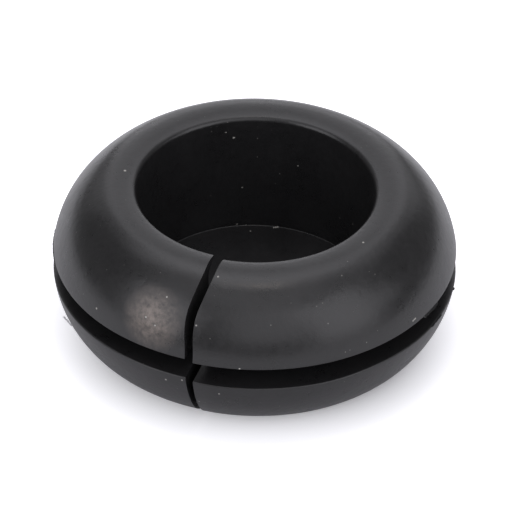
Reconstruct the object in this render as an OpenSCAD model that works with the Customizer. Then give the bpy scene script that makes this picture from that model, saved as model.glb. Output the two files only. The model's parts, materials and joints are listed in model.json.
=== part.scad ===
// Blind rubber grommet: a moulded ring with a domed flange above and below a panel groove,
// a bore closed by a floor at the foot, and one slit through the side of the ring.
// The foot stands on z = 0, the bore runs along +Z and the slit faces -Y.

/* [Ring] */
// Outside diameter of the two flanges
outer_d = 30; // [29:0.1:32]
// Height from the foot to the crown
height = 13.4; // [12.8:0.1:13.7]
// Radius of the domed section, struck from the middle of the groove
dome_r = 7; // [6.9:0.05:7.6]

/* [Bore] */
// Diameter of the bore
bore_d = 17.7; // [15:0.1:18.6]
// Thickness of the floor that closes the bore
floor_t = 2.9; // [1:0.1:5]
// Round where the bore wall meets the floor
floor_round = 0.3; // [0.1:0.05:0.6]

/* [Panel groove] */
// Width of the groove, for the thickness of the panel
groove_w = 1.65; // [1:0.05:3]
// Diameter at the root of the groove, for the hole in the panel
groove_d = 22.5; // [21:0.1:25]
// Round in the two corners of the groove's root
root_round = 0.25; // [0.1:0.05:0.4]
// Round on the flange edges beside the groove
rim_round = 0.15; // [0.05:0.05:0.3]

/* [Slit] */
// Width of the slit at the crown, where the ring is sprung open
slit_top_w = 0.75; // [0.4:0.05:1.5]
// Width of the slit at the foot
slit_foot_w = 0.45; // [0.2:0.05:0.8]
// How far the cut strays sideways at most
slit_stray = 0.35; // [0:0.05:0.5]
// How far the slit nicks the floor, past the round at the bore wall
slit_nick = 0.1; // [0.05:0.05:0.5]

/* [Hidden] */

$fn = 180;
outer_r = outer_d / 2;
bore_r = bore_d / 2;
root_r = groove_d / 2;
mid_z = height / 2;
// Every cutter runs this far past the face that it cuts
overrun = 1;
// A height that is clear of the whole dome
above_z = mid_z + dome_r + overrun;

// Centre of the upper rim's round, which touches the groove's upper face, as radius and height
rim_dz = groove_w / 2 + rim_round;
rim_c = [outer_r - rim_round, mid_z + rim_dz];

// Centre of the dome, which runs on from the rim's round
dome_c = [rim_c.x - sqrt(pow(dome_r - rim_round, 2) - rim_dz * rim_dz), mid_z];

// The mouth's round touches the bore wall and the dome, and its top is the crown
mouth_lead = bore_r - dome_c.x;
mouth_b = mouth_lead + dome_r - mid_z;
mouth_round = sqrt(mouth_b * mouth_b + dome_r * dome_r - mouth_lead * mouth_lead - mid_z * mid_z) - mouth_b;
mouth_c = [bore_r + mouth_round, height - mouth_round];

// Where the slit stops, inside the bore wall
slit_inner_r = bore_r - floor_round - slit_nick;

// A point past the dome on the line from its centre through a given point
function past_dome(p) = dome_c + (dome_r + overrun) * (p - dome_c) / norm(p - dome_c);

// The cut's path up the ring: shares of the height, and of slit_stray towards +X
slit_path = [
  [0, 0.3], [0.26, 0.3], [0.45, 0], [0.62, -0.2], [0.74, -0.8],
  [0.82, -0.75], [0.92, 0.25], [0.97, 1], [1, 0.9]
];

// A lip of the slit at one station of its path: side is -1 or 1
function slit_lip(station, side) = [
  slit_stray * station.y + side * (slit_foot_w + (slit_top_w - slit_foot_w) * station.x) / 2,
  height * station.x
];

// What a round of radius r leaves of a square corner at the origin, towards +x and +y
module corner_fill(r) {
  difference() {
    square(r);
    translate([r, r]) circle(r);
  }
}

// What is cut from a corner to leave a round of radius r at c, between the wedge's outer points
module corner_cut(c, r, points) {
  difference() {
    polygon(concat([c], points));
    translate(c) circle(r);
  }
}

// Domed outline of the ring, with the floor's disc inside it and the foot cut flat
module blank_section() {
  intersection() {
    union() {
      translate(dome_c) circle(dome_r);
      square([dome_c.x, floor_t]);
    }
    square([outer_r + overrun, above_z]);
  }
}

// The bore above the floor, with a round at its foot
module bore_section() {
  translate([0, floor_t]) difference() {
    square([bore_r, above_z - floor_t]);
    translate([bore_r, 0]) mirror([1, 0]) corner_fill(floor_round);
  }
}

// The groove, with a round in each corner of its root
module groove_section() {
  translate([root_r, mid_z]) difference() {
    translate([0, -groove_w / 2]) square([outer_r - root_r + overrun, groove_w]);
    for (side = [0, 1]) mirror([0, side])
      translate([0, -groove_w / 2]) corner_fill(root_round);
  }
}

// The corner cut away to round the mouth of the bore
module mouth_cut() {
  wall_r = bore_r - overrun;
  corner_cut(mouth_c, mouth_round, [
    past_dome(mouth_c),
    [wall_r, above_z],
    [wall_r, mouth_c.y]
  ]);
}

// The corner cut away to round the upper flange's rim
module rim_cut() {
  corner_cut(rim_c, rim_round, [
    [rim_c.x, mid_z],
    [outer_r + overrun, mid_z],
    past_dome(rim_c)
  ]);
}

// Half of the section through the axis
module half_section() {
  difference() {
    blank_section();
    bore_section();
    groove_section();
    mouth_cut();
    rim_cut();
    translate([0, height]) mirror([0, 1]) rim_cut();
  }
}

// The slit, tapered from crown to foot, from the bore out through the flanges
module slit() {
  beyond = overrun / height;
  path = concat(
    [[-beyond, slit_path[0].y]],
    slit_path,
    [[1 + beyond, slit_path[len(slit_path) - 1].y]]
  );
  translate([0, -slit_inner_r, 0]) rotate([90, 0, 0])
    linear_extrude(outer_r - slit_inner_r + overrun)
      polygon(concat(
        [for (station = path) slit_lip(station, -1)],
        [for (i = [len(path) - 1:-1:0]) slit_lip(path[i], 1)]
      ));
}

module grommet() {
  color([0.09, 0.09, 0.09]) difference() {
    rotate_extrude() half_section();
    slit();
  }
}

grommet();
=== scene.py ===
"""Looks of a blind rubber grommet: a domed, grooved ring with a slit through one side, on a white table."""

import json
import logging
import math
from dataclasses import dataclass, field
from enum import Enum
from typing import Any, Callable, Iterator, Optional, Union

import bpy
from mathutils import Matrix, Vector

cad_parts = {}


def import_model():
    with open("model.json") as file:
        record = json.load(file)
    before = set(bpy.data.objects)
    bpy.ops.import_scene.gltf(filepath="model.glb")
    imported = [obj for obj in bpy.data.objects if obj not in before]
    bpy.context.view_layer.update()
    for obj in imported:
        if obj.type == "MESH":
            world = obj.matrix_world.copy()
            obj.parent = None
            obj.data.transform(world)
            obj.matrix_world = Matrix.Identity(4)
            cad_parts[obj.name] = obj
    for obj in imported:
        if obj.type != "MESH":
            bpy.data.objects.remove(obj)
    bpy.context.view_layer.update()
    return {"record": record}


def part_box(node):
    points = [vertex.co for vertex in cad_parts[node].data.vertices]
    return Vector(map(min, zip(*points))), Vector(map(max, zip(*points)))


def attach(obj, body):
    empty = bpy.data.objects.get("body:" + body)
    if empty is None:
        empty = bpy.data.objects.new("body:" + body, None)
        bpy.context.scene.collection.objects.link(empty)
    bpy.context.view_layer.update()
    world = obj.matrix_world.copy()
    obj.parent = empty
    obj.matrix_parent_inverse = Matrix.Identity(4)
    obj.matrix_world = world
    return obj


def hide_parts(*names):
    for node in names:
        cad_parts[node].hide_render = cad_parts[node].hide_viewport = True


LOG = logging.getLogger("grommet")

MM = 0.001
PHOTO_PX = 510
SENSOR_MM = 36.0
WELD = 0.001 * MM

Point = tuple[float, float]
Place = tuple[float, float, float]
Colour = tuple[float, float, float]
Value = Union["Shade", float]
Tint = Union["Shade", Colour]


class Side(Enum):
    """The two lips of the slit, as seen from outside with the crown up."""

    LEFT = -1
    RIGHT = 1


class Shade:
    """One output socket of a node tree, with arithmetic that adds Math nodes to the tree."""

    def __init__(self, bench: "NodeBench", socket: bpy.types.NodeSocket) -> None:
        """Wraps a socket.

        Args:
            bench: The node tree that the socket is in.
            socket: The output socket.
        """
        self.bench = bench
        self.socket = socket

    def out(self, name: str) -> "Shade":
        """Another output of the same node, by its name."""
        return Shade(self.bench, self.socket.node.outputs[name])

    def math(self, operation: str, *others: Value, clamp: bool = False) -> "Shade":
        """A Math node that takes this value first.

        Args:
            operation: The Math node's operation.
            others: The values after the first.
            clamp: True to hold the result between 0 and 1.

        Returns:
            The result.
        """
        settings = {"operation": operation, "use_clamp": clamp}
        return self.bench.node("ShaderNodeMath", settings, [self, *others])

    def after(self, operation: str, first: float) -> "Shade":
        """A Math node that takes a number first and this value second."""
        return self.bench.node("ShaderNodeMath", {"operation": operation}, [first, self])

    def __add__(self, other: Value) -> "Shade":
        """This value plus another."""
        return self.math("ADD", other)

    __radd__ = __add__

    def __sub__(self, other: Value) -> "Shade":
        """This value less another."""
        return self.math("SUBTRACT", other)

    def __rsub__(self, other: float) -> "Shade":
        """A number less this value."""
        return self.after("SUBTRACT", other)

    def __mul__(self, other: Value) -> "Shade":
        """This value times another."""
        return self.math("MULTIPLY", other)

    __rmul__ = __mul__

    def __truediv__(self, other: Value) -> "Shade":
        """This value over another."""
        return self.math("DIVIDE", other)

    def __rtruediv__(self, other: float) -> "Shade":
        """A number over this value."""
        return self.after("DIVIDE", other)

    def __pow__(self, other: Value) -> "Shade":
        """This value to a power."""
        return self.math("POWER", other)

    def __rpow__(self, other: float) -> "Shade":
        """A number to the power of this value."""
        return self.after("POWER", other)

    def clamped(self) -> "Shade":
        """This value held between 0 and 1."""
        return self.math("ADD", 0.0, clamp=True)


class NodeBench:
    """A node tree with one method that makes any node."""

    def __init__(self, tree: bpy.types.NodeTree) -> None:
        """Empties a node tree to work on.

        Args:
            tree: The node tree of a material or of the world.
        """
        self.tree = tree
        tree.nodes.clear()

    def node(
        self,
        kind: str,
        settings: Optional[dict[str, Any]] = None,
        inputs: Optional[Union[dict[str, Any], list[Any]]] = None,
    ) -> Shade:
        """Makes a node.

        Args:
            kind: The node's type.
            settings: Its settings by name, which are set first.
            inputs: Values or links of its sockets in use, by name or in order.

        Returns:
            The node's first output in use, or its first input where it has no output.
        """
        made = self.tree.nodes.new(kind)
        for name, value in (settings or {}).items():
            setattr(made, name, value)
        taken = [socket for socket in made.inputs if socket.enabled]
        named = {socket.name: socket for socket in taken}
        pairs = inputs.items() if isinstance(inputs, dict) else enumerate(inputs or [])
        for key, value in pairs:
            socket = named[key] if isinstance(key, str) else taken[key]
            if isinstance(value, Shade):
                self.tree.links.new(value.socket, socket)
            else:
                socket.default_value = value
        given = [socket for socket in made.outputs if socket.enabled]
        return Shade(self, (given or taken)[0])

    def mix_colour(self, factor: Shade, first: Tint, second: Tint) -> Shade:
        """A Mix node on colours.

        Args:
            factor: How much of the second colour there is, from 0 to 1.
            first: The colour at 0.
            second: The colour at 1.

        Returns:
            The mixed colour.
        """
        inputs = {"Factor": factor, "A": self.opaque(first), "B": self.opaque(second)}
        return self.node("ShaderNodeMix", {"data_type": "RGBA"}, inputs)

    @staticmethod
    def opaque(colour: Tint) -> Any:
        """A linked colour as it is, or a written one with its alpha."""
        return colour if isinstance(colour, Shade) else (*colour, 1.0)

    def seen_ray(self, mirrored: Value) -> Shade:
        """How much a ray sees the glow.

        Args:
            mirrored: The share of the glow that a reflection or a clear piece shows.

        Returns:
            1 to the camera, the share in a reflection, and 0 to a ray that only lights.
        """
        path = self.node("ShaderNodeLightPath")
        through = path.out("Is Glossy Ray") + path.out("Is Transmission Ray")
        return (path.out("Is Camera Ray") + through * mirrored).clamped()

    def object_place(self) -> Shade:
        """The point on the object, in metres in its own frame."""
        return self.node("ShaderNodeTexCoord").out("Object")

    def distance(self, place: Shade, point: Place) -> Shade:
        """How far the coordinates are from a point."""
        return self.node("ShaderNodeVectorMath", {"operation": "DISTANCE"}, [place, point])


@dataclass(frozen=True)
class Grain:
    """A noise pattern: the size of its blots, its finer layers and how strong they are."""

    size: float
    detail: float
    roughness: float

    def pattern(self, bench: NodeBench, place: Shade) -> Shade:
        """Lays the pattern over a material.

        Args:
            bench: The material's nodes.
            place: The coordinates.

        Returns:
            The noise, from 0 to 1.
        """
        inputs = {
            "Vector": place,
            "Scale": 1.0 / self.size,
            "Detail": self.detail,
            "Roughness": self.roughness,
        }
        return bench.node("ShaderNodeTexNoise", {"noise_dimensions": "3D"}, inputs)


@dataclass(frozen=True)
class Dust:
    """Specks of pale dust, one in a share of the cells of a grid, with more small ones than large."""

    cell: float
    share: float
    smallest: float
    largest: float
    edge: float
    strength: float
    small_bias: float = 2.0

    def mask(self, bench: NodeBench, place: Shade) -> Shade:
        """Where the specks lie.

        Args:
            bench: The material's nodes.
            place: The coordinates.

        Returns:
            The dust's strength on a speck and 0 off it.
        """
        inputs = {"Vector": place, "Scale": 1.0 / self.cell, "Randomness": 1.0}
        cells = bench.node("ShaderNodeTexVoronoi", {"feature": "F1"}, inputs)
        draw = bench.node("ShaderNodeSeparateColor", None, [cells.out("Color")])
        kept = draw.out("Red").math("LESS_THAN", self.share)
        spread = (self.largest - self.smallest) / self.cell
        radius = draw.out("Green") ** self.small_bias * spread + self.smallest / self.cell
        inside = (radius - cells.out("Distance")) / (self.edge / self.cell)
        return inside.clamped() * kept * self.strength


@dataclass(frozen=True)
class Speck:
    """One pale grain or a stretch of a fibre, at a place on the ring, with a soft edge."""

    place: Place
    radius: float
    soft_share: float = 0.6

    def mask(self, bench: NodeBench, place: Shade) -> Shade:
        """Where the grain lies.

        Args:
            bench: The material's nodes.
            place: The coordinates.

        Returns:
            1 on the grain and 0 off it.
        """
        inside = self.radius - bench.distance(place, self.place)
        return (inside / (self.radius * self.soft_share)).clamped()


@dataclass(frozen=True)
class ScuffAndHighlight:
    """A rubbed, dusty patch of skin with a blotchy, fading edge; its pale warm colour is partly a painted
    highlight.
    """

    place: Place
    reach: float
    # Pale and warm: partly the rubbed skin's own colour, partly a painted highlight.
    colour: Colour
    fade_power: float = 1.2
    blotch: Grain = Grain(0.55 * MM, 4.0, 0.65)
    blotch_gain: float = 3.4
    blotch_loss: float = 0.8

    def mask(self, bench: NodeBench, place: Shade) -> Shade:
        """How much of the patch shows.

        Args:
            bench: The material's nodes.
            place: The coordinates.

        Returns:
            1 at its strongest and 0 off the patch.
        """
        fade = (1.0 - bench.distance(place, self.place) / self.reach).clamped()
        blotches = self.blotch.pattern(bench, place) * self.blotch_gain - self.blotch_loss
        return (fade**self.fade_power * blotches).clamped()


@dataclass(frozen=True)
class RubberFinish:
    """Moulded rubber with a satin skin, faint bloom, a scuffed patch that is partly a painted highlight,
    and pale dust.
    """

    name: str = "black_rubber"
    colour: Colour = (0.008, 0.008, 0.0084)
    bloom_colour: Colour = (0.022, 0.0216, 0.0222)
    dust_colour: Colour = (0.42, 0.41, 0.38)
    roughness: float = 0.3
    roughness_swing: float = 0.12
    dust_roughness: float = 0.4
    refraction: float = 1.5
    bloom: Grain = Grain(3.2 * MM, 5.0, 0.6)
    bloom_weight: float = 0.7
    skin: Grain = Grain(0.5 * MM, 3.0, 0.6)
    skin_weight: float = 0.6
    skin_depth: float = 0.016 * MM
    mottle_loss: float = 0.15
    fine_dust: Dust = Dust(0.34 * MM, 0.09, 0.02 * MM, 0.07 * MM, 0.03 * MM, 0.35)
    coarse_dust: Dust = Dust(0.9 * MM, 0.035, 0.03 * MM, 0.085 * MM, 0.04 * MM, 0.6)
    # The scuffed patch: rubbed, dusty skin whose pale warm colour also paints a highlight.
    scuff_and_highlight: ScuffAndHighlight = ScuffAndHighlight((-3.2 * MM, -13.8 * MM, 10.0 * MM), 2.7 * MM, (0.195, 0.163, 0.142))
    specks: tuple[Speck, ...] = (
        Speck((-3.74 * MM, -13.84 * MM, 10.04 * MM), 0.1 * MM),
        Speck((0.86 * MM, -11.09 * MM, 12.92 * MM), 0.1 * MM),
        Speck((3.74 * MM, -14.53 * MM, 7.68 * MM), 0.09 * MM),
        Speck((0.58 * MM, -14.36 * MM, 3.66 * MM), 0.1 * MM),
        Speck((2.24 * MM, -14.72 * MM, 5.1 * MM), 0.08 * MM),
        Speck((14.04 * MM, -5.17 * MM, 7.96 * MM), 0.09 * MM),
        Speck((14.08 * MM, -5.03 * MM, 7.99 * MM), 0.09 * MM),
        Speck((14.12 * MM, -4.9 * MM, 8.0 * MM), 0.09 * MM),
        Speck((-1.87 * MM, -14.77 * MM, 5.39 * MM), 0.1 * MM),
        Speck((-0.55 * MM, -14.96 * MM, 5.83 * MM), 0.085 * MM),
        Speck((-2.41 * MM, -13.05 * MM, 11.66 * MM), 0.085 * MM),
        Speck((0.2 * MM, -14.01 * MM, 10.4 * MM), 0.085 * MM),
        Speck((-2.92 * MM, -14.21 * MM, 9.74 * MM), 0.08 * MM),
        Speck((-8.09 * MM, -12.43 * MM, 8.69 * MM), 0.1 * MM),
        Speck((-9.77 * MM, -1.4 * MM, 13.14 * MM), 0.13 * MM),
        Speck((9.61 * MM, -3.77 * MM, 13.07 * MM), 0.1 * MM),
        Speck((-4.33 * MM, 7.72 * MM, 11.22 * MM), 0.11 * MM),
        Speck((-4.85 * MM, 7.4 * MM, 11.8 * MM), 0.07 * MM),
        Speck((-3.71 * MM, 8.03 * MM, 6.49 * MM), 0.08 * MM),
        Speck((-1.34 * MM, 8.6 * MM, 2.9 * MM), 0.09 * MM),
        Speck((-1.22 * MM, 8.67 * MM, 2.9 * MM), 0.1 * MM),
        Speck((-1.1 * MM, 8.74 * MM, 2.92 * MM), 0.09 * MM),
        Speck((-2.88 * MM, 7.6 * MM, 2.9 * MM), 0.08 * MM),
        Speck((-4.04 * MM, 7.88 * MM, 3.09 * MM), 0.08 * MM),
        Speck((0.4 * MM, 8.84 * MM, 8.98 * MM), 0.06 * MM),
    )

    def material(self) -> bpy.types.Material:
        """Makes the material.

        Returns:
            The rubber's material.
        """
        made = bpy.data.materials.new(self.name)
        made.use_nodes = True
        bench = NodeBench(made.node_tree)
        place = bench.object_place()
        bloom = self.bloom.pattern(bench, place)
        skin = self.skin.pattern(bench, place)
        dust = self.fine_dust.mask(bench, place) + self.coarse_dust.mask(bench, place)
        for speck in self.specks:
            dust = dust + speck.mask(bench, place)
        dust = dust.clamped()
        mottle = (bloom * self.bloom_weight + skin * self.skin_weight - self.mottle_loss).clamped()
        rubber = bench.mix_colour(mottle, self.colour, self.bloom_colour)
        # Mixes in the scuffed patch, which is partly a painted highlight.
        rubber = bench.mix_colour(self.scuff_and_highlight.mask(bench, place), rubber, self.scuff_and_highlight.colour)
        swing = (bloom + skin - 1.0) * self.roughness_swing
        relief = {"Strength": 1.0, "Distance": self.skin_depth, "Height": skin}
        inputs = {
            "Base Color": bench.mix_colour(dust, rubber, self.dust_colour),
            "Roughness": swing + self.roughness + dust * self.dust_roughness,
            "IOR": self.refraction,
            "Normal": bench.node("ShaderNodeBump", None, relief),
        }
        surface = bench.node("ShaderNodeBsdfPrincipled", None, inputs)
        bench.node("ShaderNodeOutputMaterial", None, {"Surface": surface})
        return made


@dataclass(frozen=True)
class TableFinish:
    """White table top that shows white to the camera and keeps the object's shadow.

    It glows to the camera from far_r outwards, and less and less from there in to near_r, so that a painted
    shadow darkens the table round the foot. The painted shadow is stretched to the camera's left and right,
    and lies a little to its right; reflections of the glow fade out towards the foot as well.
    """

    name: str = "white_table"
    colour: Colour = (0.8, 0.8, 0.82)
    # Black at near_r: the painted shadow at its darkest.
    painted_shadow_glow: Colour = (0.0, 0.0, 0.0)
    far_glow: Colour = (0.83, 0.83, 0.85)
    near_r: float = 10.25 * MM
    far_r: float = 18.6 * MM
    glow_power: float = 0.4
    stretch: float = 1.15
    shift: float = 0.5 * MM
    mirrored: float = 0.35

    def material(self, turn: float) -> bpy.types.Material:
        """Makes the material.

        Args:
            turn: The camera's azimuth in radians.

        Returns:
            The table's material.
        """
        made = bpy.data.materials.new(self.name)
        made.use_nodes = True
        bench = NodeBench(made.node_tree)
        top = bench.node("ShaderNodeBsdfDiffuse", None, {"Color": bench.opaque(self.colour)})
        turned = {
            "Vector": bench.object_place(),
            "Location": (self.shift * math.cos(turn), self.shift * math.sin(turn), 0.0),
            "Rotation": (0.0, 0.0, turn),
            "Scale": (self.stretch, 1.0, 1.0),
        }
        place = bench.node("ShaderNodeMapping", {"vector_type": "TEXTURE"}, turned)
        from_axis = bench.node("ShaderNodeVectorMath", {"operation": "LENGTH"}, [place])
        # The glow fades in towards the foot, which paints a shadow round the object.
        away = ((from_axis - self.near_r) / (self.far_r - self.near_r)).clamped() ** self.glow_power
        # Reflections show the glow only beyond far_r, which paints shade into them near the object.
        clear = ((from_axis - self.far_r) / self.far_r).clamped()
        glow_with_painted_shadow = bench.mix_colour(away, self.painted_shadow_glow, self.far_glow)
        glow = bench.node("ShaderNodeEmission", None, {"Color": glow_with_painted_shadow, "Strength": 1.0})
        lifted = bench.node("ShaderNodeAddShader", None, [top, glow])
        seen = bench.seen_ray(clear * self.mirrored)
        surface = bench.node("ShaderNodeMixShader", None, [seen, top, lifted])
        bench.node("ShaderNodeOutputMaterial", None, {"Surface": surface})
        return made


@dataclass
class Section:
    """Half section of the ring through its axis, in metres, as radius and height.

    The dome's arc turns into the flatter crown at crown_deg, and the crown into the mouth's round.
    The lower flange bulges past the dome's arc, most at the low side that bulge_lean sets.
    """

    outer_r: float
    height: float
    bore_r: float
    dome_r: float = 7.0 * MM
    floor_t: float = 2.9 * MM
    floor_round: float = 0.06 * MM
    groove_w: float = 1.65 * MM
    root_r: float = 11.25 * MM
    root_round: float = 0.25 * MM
    rim_round: float = 0.1 * MM
    crown_deg: float = 56.0
    crown_round: float = 3.4 * MM
    mouth_round: float = 0.42 * MM
    lower_bulge: float = 0.1 * MM
    bulge_lean: float = 1.87
    flat_steps: int = 14
    floor_steps: int = 5
    mouth_steps: int = 7
    crown_steps: int = 12
    dome_steps: int = 30
    rim_steps: int = 6
    face_steps: int = 7
    root_steps: int = 4

    @classmethod
    def from_frame(cls, record: dict[str, Any]) -> "Section":
        """Takes the sizes that the frame holds.

        Args:
            record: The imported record.

        Returns:
            The section at the frame's sizes.
        """
        low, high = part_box("grommet")
        bore = next(m for m in record["mounts"] if m["name"] == "bore")
        return cls((high.x - low.x) / 2, high.z - low.z, bore["dims"]["r_mm"] * MM)

    def __post_init__(self) -> None:
        """Works out the centres of the section's arcs."""
        self.mid_z = self.height / 2
        rim_dz = self.groove_w / 2 + self.rim_round
        self.rim_c = Vector((self.outer_r - self.rim_round, self.mid_z + rim_dz))
        reach = math.sqrt((self.dome_r - self.rim_round) ** 2 - rim_dz**2)
        self.dome_c = Vector((self.rim_c.x - reach, self.mid_z))
        turn = math.radians(self.crown_deg)
        toward_crown = Vector((math.cos(turn), math.sin(turn)))
        self.crown_c = self.dome_c + toward_crown * (self.dome_r - self.crown_round)
        mouth_r = self.bore_r + self.mouth_round
        across = self.crown_c.x - mouth_r
        rise = math.sqrt((self.crown_round - self.mouth_round) ** 2 - across**2)
        self.mouth_c = Vector((mouth_r, self.crown_c.y + rise))

    @staticmethod
    def arc(centre: Vector, radius: float, start: float, end: float, steps: int) -> Iterator[Point]:
        """Points along an arc.

        Args:
            centre: The arc's centre.
            radius: Its radius.
            start: The angle at its first point, in radians.
            end: The angle at its last point.
            steps: How many stretches it is cut into.

        Yields:
            Each point.
        """
        for i in range(steps + 1):
            turn = start + (end - start) * i / steps
            yield centre.x + radius * math.cos(turn), centre.y + radius * math.sin(turn)

    @staticmethod
    def line(start: Point, end: Point, steps: int) -> Iterator[Point]:
        """Points along a straight stretch, without its ends.

        Args:
            start: Where the stretch begins.
            end: Where it ends.
            steps: How many parts it is cut into.

        Yields:
            Each point between the ends.
        """
        for i in range(1, steps):
            share = i / steps
            yield start[0] + (end[0] - start[0]) * share, start[1] + (end[1] - start[1]) * share

    def outline(self) -> list[Point]:
        """The outline from the middle of the bore's floor, over the crown, to the middle of the foot.

        Returns:
            The points in order.
        """
        quarter = math.pi / 2
        floor_c = Vector((self.bore_r - self.floor_round, self.floor_t + self.floor_round))
        to_mouth = self.mouth_c - self.crown_c
        mouth_turn = math.atan2(to_mouth.y, to_mouth.x)
        crown_turn = math.radians(self.crown_deg)
        to_rim = self.rim_c - self.dome_c
        rim_turn = math.atan2(to_rim.y, to_rim.x)
        foot_turn = -math.asin(self.mid_z / self.dome_r)
        crown = self.arc(self.crown_c, self.crown_round, mouth_turn, crown_turn, self.crown_steps)
        dome = self.arc(self.dome_c, self.dome_r, crown_turn, rim_turn, self.dome_steps)
        rim = list(self.arc(self.rim_c, self.rim_round, rim_turn, -quarter, self.rim_steps))
        points: list[Point] = [(0.0, self.floor_t)]
        points += self.line((0.0, self.floor_t), (floor_c.x, self.floor_t), self.flat_steps)
        points += self.arc(floor_c, self.floor_round, -quarter, 0.0, self.floor_steps)
        points += self.line((self.bore_r, floor_c.y), (self.bore_r, self.mouth_c.y), self.flat_steps)
        points += self.arc(self.mouth_c, self.mouth_round, math.pi, mouth_turn, self.mouth_steps)
        points += list(crown)[1:] + list(dome)[1:] + rim[1:]
        points += self.groove_wall()
        points += [(r, self.height - z) for r, z in reversed(rim)]
        points += self.lower_dome(-rim_turn, foot_turn)
        foot_r = points[-1][0]
        points += self.line((foot_r, 0.0), (0.0, 0.0), self.flat_steps)
        points.append((0.0, 0.0))
        return points

    def lower_dome(self, start: float, end: float) -> list[Point]:
        """The lower flange from its rim to the foot, which bulges a little past the dome's arc.

        Args:
            start: The angle at the rim, in radians.
            end: The angle at the foot.

        Returns:
            The points in order, without the one at the rim.
        """
        points: list[Point] = []
        for i in range(1, self.dome_steps + 1):
            share = i / self.dome_steps
            turn = start + (end - start) * share
            bulge = self.lower_bulge * math.sin(math.pi * share**self.bulge_lean) ** 2
            out = Vector((math.cos(turn), math.sin(turn))) * (self.dome_r + bulge)
            points.append(tuple(self.dome_c + out))
        return points

    def groove_wall(self) -> list[Point]:
        """The groove's upper face, root and lower face, between the two rims.

        Returns:
            The points in order, from the upper face to the lower.
        """
        quarter = math.pi / 2
        face_z = self.mid_z + self.groove_w / 2
        corner = Vector((self.root_r + self.root_round, face_z - self.root_round))
        face = list(self.line((self.rim_c.x, face_z), (corner.x, face_z), self.face_steps))
        turned = list(self.arc(corner, self.root_round, quarter, math.pi, self.root_steps))
        upper = face + turned
        return upper + [(r, self.height - z) for r, z in reversed(upper)]


@dataclass
class Slit:
    """The hand cut through the side of the ring, facing -Y: it strays, and is wider at the crown."""

    top_w: float = 0.75 * MM
    foot_w: float = 0.45 * MM
    stray: float = 0.35 * MM
    inner_gap: float = 0.4 * MM
    overrun: float = 1.0 * MM
    levels: int = 60
    path: tuple[Point, ...] = (
        (0.0, 0.3), (0.26, 0.3), (0.45, 0.0), (0.62, -0.2), (0.74, -0.8),
        (0.82, -0.75), (0.92, 0.15), (0.97, 0.6), (1.0, 0.4),
    )

    def middle(self, share: float) -> float:
        """How far to the side the middle of the cut is, on a smooth curve through its path.

        Args:
            share: The height as a share of the ring's.

        Returns:
            The distance towards +X.
        """
        stations = self.path
        if not stations[0][0] < share < stations[-1][0]:
            return self.stray * (stations[0] if share <= stations[0][0] else stations[-1])[1]
        i = max(n for n, station in enumerate(stations) if station[0] <= share)
        (x0, y0), (x1, y1) = stations[i], stations[i + 1]
        span, t = x1 - x0, (share - x0) / (x1 - x0)
        lean0, lean1 = self._lean(i) * span, self._lean(i + 1) * span
        rise = t * t * (3 - 2 * t)
        bend = t * (1 - t) * ((1 - t) * lean0 - t * lean1)
        return self.stray * (y0 + (y1 - y0) * rise + bend)

    def _lean(self, i: int) -> float:
        """The slope of the path at one of its stations, from the stations beside it.

        Args:
            i: The station's number.

        Returns:
            The slope.
        """
        (x0, y0) = self.path[max(i - 1, 0)]
        (x1, y1) = self.path[min(i + 1, len(self.path) - 1)]
        return (y1 - y0) / (x1 - x0)

    def width(self, share: float) -> float:
        """The slit's width at a share of the ring's height."""
        return self.foot_w + (self.top_w - self.foot_w) * share

    def cutter(self, section: Section) -> bpy.types.Object:
        """A tapered blade with the cut's shape, extruded level by level from the foot up.

        Args:
            section: The ring's section.

        Returns:
            The blade.
        """
        inner = section.bore_r - self.inner_gap
        outer = section.outer_r + self.overrun
        beyond = self.overrun / section.height
        shares = [-beyond] + [n / self.levels for n in range(self.levels + 1)] + [1 + beyond]
        centre_y = -(inner + outer) / 2
        start = Vector((self.middle(shares[0]), centre_y, shares[0] * section.height))
        select_only(None)
        bpy.ops.mesh.primitive_plane_add(size=1.0, location=start)
        blade = bpy.context.object
        blade.scale = (self.width(shares[0]), outer - inner, 1.0)
        bpy.ops.object.transform_apply(location=True, rotation=True, scale=True)
        bpy.ops.object.mode_set(mode="EDIT")
        bpy.ops.mesh.select_all(action="SELECT")
        for share, higher in zip(shares, shares[1:]):
            shift = (self.middle(higher) - self.middle(share), 0.0, (higher - share) * section.height)
            bpy.ops.mesh.extrude_region_move(TRANSFORM_OT_translate={"value": shift})
            pivot = (self.middle(higher), centre_y, higher * section.height)
            wider = self.width(higher) / self.width(share)
            bpy.ops.transform.resize(value=(wider, 1.0, 1.0), center_override=pivot)
        bpy.ops.mesh.select_all(action="SELECT")
        bpy.ops.mesh.normals_make_consistent(inside=False)
        bpy.ops.object.mode_set(mode="OBJECT")
        return blade


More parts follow.
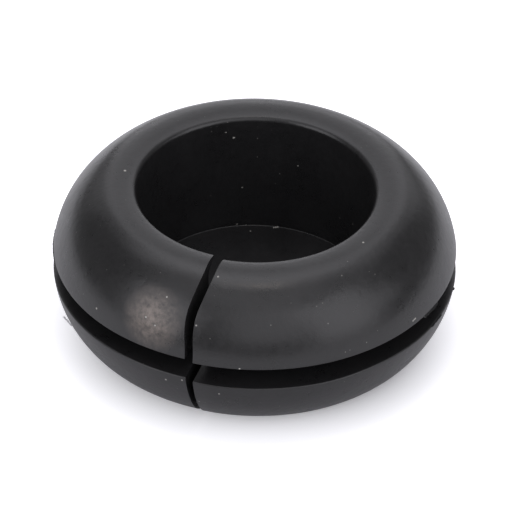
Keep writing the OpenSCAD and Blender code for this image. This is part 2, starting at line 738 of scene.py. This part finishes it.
@dataclass
class Grommet:
    """The moulded ring, sprung a little out of shape at the slit."""

    section: Section
    slit: Slit = field(default_factory=Slit)
    turns: int = 320
    lifted_side: Side = Side.LEFT
    lip_lift: float = 0.3 * MM
    lift_reach: float = 20.0 * MM
    lip_depth: float = 0.02 * MM
    sagging_side: Side = Side.RIGHT
    rim_sag: float = 0.14 * MM
    sag_reach: float = 6.0 * MM
    sag_from_deg: float = 10.0
    sag_to_deg: float = 36.0
    rim_depth: float = 0.5 * MM
    rim_height: float = 0.3 * MM
    sharp_deg: float = 32.0

    def build(self) -> bpy.types.Object:
        """Models the ring: its section is drawn, spun about the axis, slit and sprung.

        Returns:
            The finished piece.
        """
        ring = self.spun_ring()
        self.cut_slit(ring)
        self.lift_lip(ring)
        self.sag_rim(ring)
        select_only(ring)
        bpy.ops.object.shade_smooth_by_angle(angle=math.radians(self.sharp_deg))
        ring.name = "grommet_moulding"
        ring.data.name = ring.name
        return ring

    def spun_ring(self) -> bpy.types.Object:
        """Draws the half section point by point and spins it about the axis.

        Returns:
            The closed ring, with its floor.
        """
        outline = self.section.outline()
        select_only(None)
        bpy.ops.mesh.primitive_plane_add(size=MM, location=(0.0, 0.0, 0.0))
        ring = bpy.context.object
        bpy.ops.object.mode_set(mode="EDIT")
        bpy.ops.mesh.select_all(action="SELECT")
        bpy.ops.mesh.merge(type="CENTER")
        bpy.ops.transform.translate(value=(outline[0][0], 0.0, outline[0][1]))
        for (r, z), (next_r, next_z) in zip(outline, outline[1:]):
            step = (next_r - r, 0.0, next_z - z)
            bpy.ops.mesh.extrude_region_move(TRANSFORM_OT_translate={"value": step})
        bpy.ops.mesh.select_all(action="SELECT")
        bpy.ops.mesh.spin(
            steps=self.turns, angle=2 * math.pi, center=(0.0, 0.0, 0.0), axis=(0.0, 0.0, 1.0)
        )
        bpy.ops.mesh.select_all(action="SELECT")
        bpy.ops.mesh.remove_doubles(threshold=WELD)
        bpy.ops.mesh.normals_make_consistent(inside=False)
        bpy.ops.object.mode_set(mode="OBJECT")
        return ring

    def cut_slit(self, ring: bpy.types.Object) -> None:
        """Cuts the slit out of the ring.

        Args:
            ring: The ring.
        """
        wedge = self.slit.cutter(self.section)
        select_only(ring)
        cut = ring.modifiers.new("slit", "BOOLEAN")
        cut.operation = "DIFFERENCE"
        cut.solver = "EXACT"
        cut.object = wedge
        bpy.ops.object.modifier_apply(modifier=cut.name)
        bpy.data.objects.remove(wedge, do_unlink=True)

    def lift_lip(self, ring: bpy.types.Object) -> None:
        """Raises one lip of the slit, and the ring behind it less and less.

        Args:
            ring: The slit ring.
        """

        def on_lip(point: Vector) -> bool:
            """Tells a point of the lip.

            Args:
                point: A point of the ring.

            Returns:
                Whether it is on the lip.
            """
            share = point.z / self.section.height
            from_cut = (point.x - self.slit.middle(share)) * self.lifted_side.value
            on_cut = abs(from_cut - self.slit.width(share) / 2) < self.lip_depth
            return point.y < -self.section.bore_r and on_cut

        select_points(ring, on_lip)
        self.draw_along(self.lip_lift, self.lift_reach)

    def sag_rim(self, ring: bpy.types.Object) -> None:
        """Lowers the lower flange's rim beside the slit, and the ring round it less and less.

        Args:
            ring: The slit ring.
        """
        rim_z = self.section.mid_z - self.section.groove_w / 2
        rim_r = self.section.outer_r - self.rim_depth

        def on_rim(point: Vector) -> bool:
            """Tells a point of the sagging rim.

            Args:
                point: A point of the ring.

            Returns:
                Whether it is on that rim.
            """
            bearing = math.degrees(math.atan2(point.x, -point.y)) * self.sagging_side.value
            at_rim = math.hypot(point.x, point.y) > rim_r and abs(point.z - rim_z) < self.rim_height
            return at_rim and self.sag_from_deg < bearing < self.sag_to_deg

        select_points(ring, on_rim)
        self.draw_along(-self.rim_sag, self.sag_reach)

    @staticmethod
    def draw_along(rise: float, reach: float) -> None:
        """Moves the selected points up or down, and draws the surface round them along.

        Args:
            rise: How far the points move up.
            reach: How far along the surface the move fades out.
        """
        bpy.ops.object.mode_set(mode="EDIT")
        bpy.ops.transform.translate(
            value=(0.0, 0.0, rise),
            use_proportional_edit=True,
            proportional_edit_falloff="SMOOTH",
            proportional_size=reach,
            use_proportional_connected=True,
        )
        bpy.ops.object.mode_set(mode="OBJECT")

    def dress(self, piece: bpy.types.Object, material: bpy.types.Material) -> None:
        """Gives the piece its finish and its place in the frame.

        Args:
            piece: The moulded ring.
            material: The rubber.
        """
        piece.data.materials.append(material)
        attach(piece, "root")
        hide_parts("grommet")


class Rim(Enum):
    """The two flange edges beside the groove."""

    UPPER = 1
    LOWER = -1


@dataclass(frozen=True)
class RimFlash:
    """A thin ragged fin of rubber that the mould left along part of a flange's edge."""

    name: str
    rim: Rim
    start_deg: float
    sweep_deg: float
    reach: float
    droop: float
    seed: int
    root: float = 0.12 * MM
    thickness: float = 0.04 * MM
    step_deg: float = 0.35
    seat_share: float = 0.6
    end_share: float = 0.04
    raggedness: float = 0.75
    sharp_deg: float = 40.0

    def build(self, section: Section) -> bpy.types.Object:
        """Models the fin: an edge across the rim is spun along it and its free edge is torn.

        Args:
            section: The ring's section.

        Returns:
            The fin.
        """
        from_middle = section.groove_w / 2 + section.rim_round * self.seat_share
        edge_z = section.mid_z + self.rim.value * from_middle
        start = math.radians(self.start_deg)
        out = Vector((math.sin(start), -math.cos(start), 0.0))
        inner = out * (section.outer_r - self.root) + Vector((0.0, 0.0, edge_z))
        across = out * (self.root + self.reach) - Vector((0.0, 0.0, self.droop))
        select_only(None)
        bpy.ops.mesh.primitive_plane_add(size=MM, location=inner)
        fin = bpy.context.object
        bpy.ops.object.transform_apply(location=True, rotation=True, scale=True)
        bpy.ops.object.mode_set(mode="EDIT")
        bpy.ops.mesh.select_all(action="SELECT")
        bpy.ops.mesh.merge(type="CENTER")
        bpy.ops.mesh.extrude_region_move(TRANSFORM_OT_translate={"value": across})
        bpy.ops.mesh.select_all(action="SELECT")
        bpy.ops.mesh.spin(
            steps=round(self.sweep_deg / self.step_deg),
            angle=-math.radians(self.sweep_deg),
            center=(0.0, 0.0, 0.0),
            axis=(0.0, 0.0, 1.0),
        )
        bpy.ops.object.mode_set(mode="OBJECT")
        self.tear(fin, section)
        wall = fin.modifiers.new("thickness", "SOLIDIFY")
        wall.thickness = self.thickness
        wall.offset = 0.0
        bpy.ops.object.modifier_apply(modifier=wall.name)
        bpy.ops.object.shade_smooth_by_angle(angle=math.radians(self.sharp_deg))
        fin.name = self.name
        fin.data.name = self.name
        return fin

    def tear(self, fin: bpy.types.Object, section: Section) -> None:
        """Makes the fin's free edge ragged and lets it die away at both ends.

        Args:
            fin: The even fin.
            section: The ring's section.
        """
        free = section.outer_r + self.reach / 2
        start = math.radians(self.start_deg)
        sweep = math.radians(self.sweep_deg)

        def on_free_edge(point: Vector) -> bool:
            """Tells a point of the free edge."""
            return math.hypot(point.x, point.y) > free

        def at_end(point: Vector) -> bool:
            """Tells a point of the free edge near either end."""
            share = (math.atan2(point.x, -point.y) - start) / sweep
            return on_free_edge(point) and not self.end_share < share < 1.0 - self.end_share

        select_points(fin, at_end)
        bpy.ops.object.mode_set(mode="EDIT")
        smaller = (section.outer_r - self.root / 2) / (section.outer_r + self.reach)
        bpy.ops.transform.resize(value=(smaller, smaller, 1.0), center_override=(0.0, 0.0, 0.0))
        bpy.ops.object.mode_set(mode="OBJECT")
        select_points(fin, on_free_edge)
        bpy.ops.object.mode_set(mode="EDIT")
        bpy.ops.transform.vertex_random(offset=self.reach * self.raggedness, seed=self.seed)
        bpy.ops.mesh.select_all(action="SELECT")
        bpy.ops.mesh.remove_doubles(threshold=WELD)
        bpy.ops.mesh.normals_make_consistent(inside=False)
        bpy.ops.object.mode_set(mode="OBJECT")

    def dress(self, piece: bpy.types.Object, material: bpy.types.Material) -> None:
        """Gives the fin the rubber's finish and its place in the frame.

        Args:
            piece: The fin.
            material: The rubber.
        """
        piece.data.materials.append(material)
        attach(piece, "root")


@dataclass(frozen=True)
class TornFlake:
    """A torn scrap of film that stands out from the lower flange."""

    name: str = "torn_flake"
    bearing_deg: float = -53.0
    section_deg: float = -23.0
    lean_deg: float = 85.0
    peel_deg: float = -9.0
    length: float = 1.3 * MM
    width: float = 0.11 * MM
    thickness: float = 0.03 * MM
    length_cuts: int = 16
    width_cuts: int = 6
    crumple: float = 0.3
    seed: int = 7

    def build(self, section: Section) -> bpy.types.Object:
        """Models the scrap: a strip set on edge along the flange, cut up finely and crumpled.

        Args:
            section: The ring's section.

        Returns:
            The scrap.
        """
        turn, rise = math.radians(self.bearing_deg), math.radians(self.section_deg)
        flat_out = Vector((math.sin(turn), -math.cos(turn), 0.0))
        out = flat_out * math.cos(rise) + Vector((0.0, 0.0, math.sin(rise)))
        foot = flat_out * section.dome_c.x + Vector((0.0, 0.0, section.mid_z)) + out * section.dome_r
        around = Vector((math.cos(turn), math.sin(turn), 0.0))
        lean = math.radians(self.lean_deg)
        level = around * math.cos(lean) - around.cross(out) * math.sin(lean)
        peel = math.radians(self.peel_deg)
        along = level * math.cos(peel) - out * math.sin(peel)
        off = level * math.sin(peel) + out * math.cos(peel)
        select_only(None)
        cuts = {"x_subdivisions": self.length_cuts, "y_subdivisions": self.width_cuts}
        bpy.ops.mesh.primitive_grid_add(size=1.0, **cuts)
        scrap = bpy.context.object
        scrap.scale = (self.length, self.width, 1.0)
        bpy.ops.object.transform_apply(location=False, rotation=False, scale=True)
        axes = Matrix((along, off, along.cross(off))).transposed()
        stand_off = self.length / 2 * math.sin(abs(peel))
        scrap.matrix_world = Matrix.Translation(foot + out * stand_off) @ axes.to_4x4()
        bpy.ops.object.transform_apply(location=True, rotation=True, scale=True)
        bpy.ops.object.mode_set(mode="EDIT")
        bpy.ops.mesh.select_all(action="SELECT")
        bpy.ops.transform.vertex_random(offset=self.width * self.crumple, seed=self.seed)
        bpy.ops.object.mode_set(mode="OBJECT")
        wall = scrap.modifiers.new("thickness", "SOLIDIFY")
        wall.thickness = self.thickness
        bpy.ops.object.modifier_apply(modifier=wall.name)
        bpy.ops.object.shade_smooth()
        scrap.name = self.name
        scrap.data.name = self.name
        return scrap

    def dress(self, piece: bpy.types.Object, material: bpy.types.Material) -> None:
        """Gives the scrap its finish and its place in the frame.

        Args:
            piece: The scrap.
            material: The film.
        """
        piece.data.materials.append(material)
        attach(piece, "root")


@dataclass(frozen=True)
class SoftBox:
    """A square or oblong lamp that faces the object, at a bearing from the camera's own."""

    name: str
    bearing_deg: float
    elevation_deg: float
    width: float
    height: float
    brightness: float
    colour: Colour = (0.985, 0.975, 1.03)
    distance: float = 1.0

    def place(self, camera_azimuth: float, aim: Vector) -> bpy.types.Object:
        """Makes the lamp.

        Args:
            camera_azimuth: The camera's azimuth in radians, from which the bearing counts.
            aim: The point that the lamp faces.

        Returns:
            The lamp.
        """
        lamp = bpy.data.lights.new(self.name, "AREA")
        lamp.shape = "RECTANGLE"
        lamp.size = self.width
        lamp.size_y = self.height
        lamp.energy = self.brightness * math.pi * self.width * self.height
        lamp.color = self.colour
        holder = bpy.data.objects.new(self.name, lamp)
        bpy.context.scene.collection.objects.link(holder)
        back = direction(camera_azimuth + math.radians(self.bearing_deg), math.radians(self.elevation_deg))
        holder.location = aim + back * self.distance
        holder.rotation_euler = (-back).to_track_quat("-Z", "Y").to_euler()
        holder.visible_camera = False
        return holder


@dataclass
class Studio:
    """The white table, the lamps and the white surroundings."""

    fill: float = 0.12
    mirrored: float = 0.02
    table_span: float = 0.24
    table_finish: TableFinish = TableFinish()
    lamps: tuple[SoftBox, ...] = (
        SoftBox("top_softbox", 180.0, 88.0, 0.5, 0.5, 1.65),
        SoftBox("ceiling_back", 180.0, 62.0, 0.8, 0.5, 1.03),
        SoftBox("ceiling_back_left", -135.0, 62.0, 0.6, 0.5, 0.55),
        SoftBox("ceiling_back_right", 135.0, 62.0, 0.6, 0.5, 0.35),
        SoftBox("ceiling_left", -90.0, 62.0, 0.9, 0.5, 0.55),
        SoftBox("ceiling_right", 90.0, 62.0, 0.9, 0.5, 0.48),
        SoftBox("ceiling_front", 0.0, 62.0, 0.7, 0.4, 0.82),
        SoftBox("back_panel", 180.0, 34.0, 0.9, 0.4, 0.82),
        SoftBox("back_left_panel", -148.0, 36.0, 0.5, 0.4, 0.22),
        SoftBox("back_right_panel", 148.0, 36.0, 0.5, 0.4, 0.35),
        SoftBox("back_low_panel", 180.0, 10.0, 0.65, 0.35, 1.1),
        SoftBox("back_left_low_panel", -147.0, 17.0, 0.35, 0.3, 0.4),
        SoftBox("back_right_low_panel", 148.0, 17.0, 0.35, 0.3, 0.6),
        SoftBox("right_softbox", 81.0, 19.0, 0.25, 0.3, 1.0),
        SoftBox("front_left_softbox", -55.0, 22.0, 0.7, 0.8, 1.85),
        SoftBox("front_right_softbox", 52.0, 25.0, 0.7, 0.88, 1.7),
        SoftBox("front_panel", 6.0, 30.0, 0.68, 0.75, 1.02),
        SoftBox("warm_top_lamp", 52.0, 87.0, 0.1, 0.1, 5.0, (1.0, 0.82, 0.66)),
    )

    def build(self, camera_azimuth: float, aim: Vector) -> None:
        """Makes the table, the surroundings and the lamps.

        Args:
            camera_azimuth: The camera's azimuth in radians.
            aim: The point that the lamps face.
        """
        self.build_table(camera_azimuth)
        self.build_world()
        for lamp in self.lamps:
            lamp.place(camera_azimuth, aim)
            LOG.info("lamp %s", lamp.name)

    def build_table(self, camera_azimuth: float) -> bpy.types.Object:
        """Makes the table top.

        Args:
            camera_azimuth: The camera's azimuth in radians.

        Returns:
            The table top.
        """
        select_only(None)
        bpy.ops.mesh.primitive_plane_add(size=self.table_span, location=(0.0, 0.0, 0.0))
        table = bpy.context.object
        table.name = "table_top"
        table.data.materials.append(self.table_finish.material(camera_azimuth))
        return table

    def build_world(self) -> None:
        """Makes surroundings that show white and light the object softly."""
        world = bpy.data.worlds.new("surroundings")
        bpy.context.scene.world = world
        world.use_nodes = True
        bench = NodeBench(world.node_tree)
        plain = bench.opaque((1.0, 1.0, 1.0))
        white = bench.node("ShaderNodeBackground", None, {"Color": plain, "Strength": 1.0})
        soft = bench.node("ShaderNodeBackground", None, {"Color": plain, "Strength": self.fill})
        surface = bench.node("ShaderNodeMixShader", None, [bench.seen_ray(self.mirrored), soft, white])
        bench.node("ShaderNodeOutputWorld", None, {"Surface": surface})


@dataclass(frozen=True)
class Viewpoint:
    """The camera, as its view of the ring's axis at mid height."""

    azimuth_deg: float = 18.25
    elevation_deg: float = 37.17
    roll_deg: float = 0.767
    distance: float = 602.0 * MM
    px_per_mm: float = 13.419
    axis_px: Point = (254.755, 255.9)
    nearest: float = 0.01
    farthest: float = 20.0

    @property
    def azimuth(self) -> float:
        """The azimuth in radians."""
        return math.radians(self.azimuth_deg)

    def place(self, aim: Vector) -> bpy.types.Object:
        """Makes the scene's camera.

        Args:
            aim: The point on the ring's axis that axis_px shows.

        Returns:
            The camera.
        """
        lens = bpy.data.cameras.new("photo_camera")
        camera = bpy.data.objects.new("photo_camera", lens)
        bpy.context.scene.collection.objects.link(camera)
        back = direction(self.azimuth, math.radians(self.elevation_deg))
        roll = Matrix.Rotation(math.radians(self.roll_deg), 3, "Z")
        turned = (-back).to_track_quat("-Z", "Y").to_matrix() @ roll
        right, up = turned.col[0], turned.col[1]
        half = PHOTO_PX / 2
        across = (half - self.axis_px[0]) / self.px_per_mm * MM
        upward = (self.axis_px[1] - half) / self.px_per_mm * MM
        stand = aim + back * self.distance + right * across + up * upward
        camera.matrix_world = Matrix.Translation(stand) @ turned.to_4x4()
        lens.sensor_width = SENSOR_MM
        lens.lens = self.px_per_mm * self.distance / MM * SENSOR_MM / PHOTO_PX
        lens.clip_start = self.nearest
        lens.clip_end = self.farthest
        lens.dof.use_dof = False
        bpy.context.scene.camera = camera
        return camera


FLASH: tuple[RimFlash, ...] = (
    RimFlash("left_rim_flash", Rim.UPPER, -79.0, 17.0, 0.05 * MM, 0.0, 3),
    RimFlash("right_rim_flash", Rim.UPPER, 75.0, 8.0, 0.08 * MM, 0.14 * MM, 5),
    RimFlash("lower_rim_flash", Rim.LOWER, 79.0, 7.0, 0.07 * MM, -0.03 * MM, 11),
    RimFlash("mould_nib", Rim.LOWER, 98.0, 1.2, 0.1 * MM, 0.02 * MM, 2, step_deg=0.2),
)
FILM = RubberFinish(name="torn_film", colour=(0.92, 0.92, 0.93), bloom_colour=(0.96, 0.96, 0.97))


def direction(azimuth: float, elevation: float) -> Vector:
    """The way out from the ring at an azimuth, counted from -Y towards +X, and an elevation.

    Args:
        azimuth: The azimuth in radians.
        elevation: The elevation in radians.

    Returns:
        The direction, one unit long.
    """
    level = math.cos(elevation)
    return Vector((math.sin(azimuth) * level, -math.cos(azimuth) * level, math.sin(elevation)))


def select_only(piece: Optional[bpy.types.Object]) -> None:
    """Selects one object and makes it active, or selects nothing.

    Args:
        piece: The object, or None.
    """
    bpy.ops.object.select_all(action="DESELECT")
    if piece is not None:
        piece.select_set(True)
        bpy.context.view_layer.objects.active = piece


def select_points(piece: bpy.types.Object, chosen: Callable[[Vector], bool]) -> int:
    """Selects the points of a mesh by their place, and nothing else.

    Args:
        piece: The object, in object mode.
        chosen: True for a point that is wanted.

    Returns:
        How many points are selected.
    """
    select_only(piece)
    bpy.ops.object.mode_set(mode="EDIT")
    bpy.ops.mesh.select_mode(type="VERT")
    bpy.ops.mesh.select_all(action="DESELECT")
    bpy.ops.object.mode_set(mode="OBJECT")
    for vertex in piece.data.vertices:
        vertex.select = chosen(vertex.co)
    return sum(vertex.select for vertex in piece.data.vertices)


def main() -> None:
    """Builds the ring, its surroundings and the camera."""
    logging.basicConfig(level=logging.INFO, format="%(name)s: %(message)s")
    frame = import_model()
    bpy.context.scene.view_settings.view_transform = "Standard"
    section = Section.from_frame(frame["record"])
    aim = Vector((0.0, 0.0, section.mid_z))
    view = Viewpoint()
    view.place(aim)
    Studio().build(view.azimuth, aim)
    grommet = Grommet(section)
    ring = grommet.build()
    rubber = RubberFinish().material()
    grommet.dress(ring, rubber)
    LOG.info("%s: %d faces", ring.name, len(ring.data.polygons))
    for flash in FLASH:
        fin = flash.build(section)
        flash.dress(fin, rubber)
        LOG.info("%s: %d faces", fin.name, len(fin.data.polygons))
    flake = TornFlake()
    scrap = flake.build(section)
    flake.dress(scrap, FILM.material())
    LOG.info("%s: %d faces", scrap.name, len(scrap.data.polygons))


if __name__ == "__main__":
    main()
